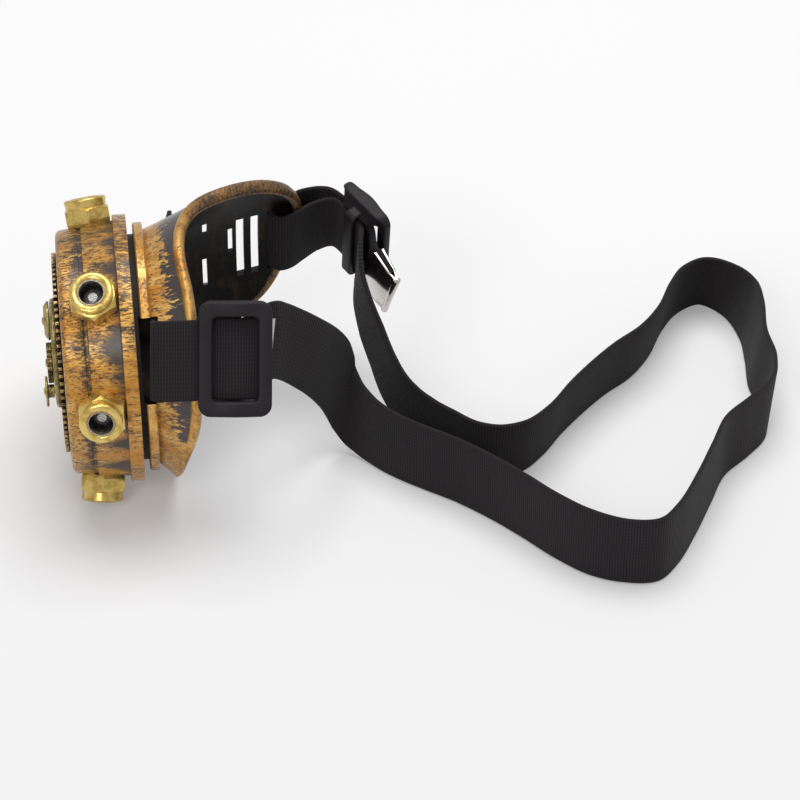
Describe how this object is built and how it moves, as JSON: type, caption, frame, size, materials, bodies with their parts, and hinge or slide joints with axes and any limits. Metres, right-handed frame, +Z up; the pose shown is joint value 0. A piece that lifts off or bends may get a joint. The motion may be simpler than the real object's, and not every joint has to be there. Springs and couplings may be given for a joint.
{
  "type": "single-eye steampunk goggle",
  "caption": "Single-eye goggle: screw-on bezel with hex fittings and a gear ornament, moulded eye cup, and an elastic head strap with tri-glide sliders.",
  "frame": {"origin": "middle of the bounding box, on the table the goggle lies on", "axes": "+X along the lens axis from the bezel's front to the strap's far end, +Z up from the table, +Y to the temple side of the eye cup"},
  "size_m": [0.1954, 0.1188, 0.072],
  "materials": {
    "cup_paint": "antique gold brushed over black",
    "bezel_paint": "antique gold brushed over black",
    "fitting_gold": "bright gold paint",
    "screw_steel": "plain",
    "gear_dark_brass": "antiqued",
    "ornament_brass": "worn",
    "rivet_brass": "worn",
    "lens_clear": "clear",
    "gasket_rubber": "matte",
    "strap_elastic": "ribbed black elastic",
    "slider_black": "satin black",
    "crimp_chrome": "bright"
  },
  "bodies": {
    "cup": {"eye_cup": "cup_paint", "head_strap": "strap_elastic", "near_crimp": "crimp_chrome", "far_crimp": "crimp_chrome"},
    "lens_stack": {"lens": "lens_clear", "lens_gasket": "gasket_rubber"},
    "bezel": {"bezel_ring": "bezel_paint", "hex_fitting_1": "fitting_gold", "hex_fitting_2": "fitting_gold", "hex_fitting_3": "fitting_gold", "hex_fitting_4": "fitting_gold", "hex_fitting_5": "fitting_gold", "hex_fitting_6": "fitting_gold", "fitting_screw_1": "screw_steel", "fitting_screw_2": "screw_steel", "fitting_screw_3": "screw_steel", "fitting_screw_4": "screw_steel", "fitting_screw_5": "screw_steel", "fitting_screw_6": "screw_steel", "ring_gear": "gear_dark_brass", "brass_wheel": "ornament_brass", "upper_boss": "ornament_brass", "centre_cog": "gear_dark_brass", "lower_disc": "ornament_brass", "ornament_rivet": "rivet_brass", "boss_rivet": "rivet_brass", "disc_rivet": "rivet_brass"},
    "near_glide": {"near_slider": "slider_black"},
    "far_glide": {"far_slider": "slider_black"}
  },
  "joints": [
    {"name": "lens_travel", "type": "slide", "parent": "cup", "child": "lens_stack", "axis": [-1, 0, 0], "range_m": [0, 0.005]},
    {"name": "bezel_turn", "type": "hinge", "parent": "lens_stack", "child": "bezel", "pos_m": [-0.08095, 0.0077, 0.03592], "axis": [-1, 0, 0], "range_deg": [0, 720]},
    {"name": "near_slider_slide", "type": "slide", "parent": "cup", "child": "near_glide", "axis": [1, 0, 0], "range_m": [-0.0015, 0.002]},
    {"name": "far_slider_slide", "type": "slide", "parent": "cup", "child": "far_glide", "axis": [-0.5388, 0.7982, 0.2694], "range_m": [0, 0.002]}
  ],
  "couplings": [
    {"joint": "lens_travel", "follows": "bezel_turn", "m_per_rad": 0.00039788}
  ]
}
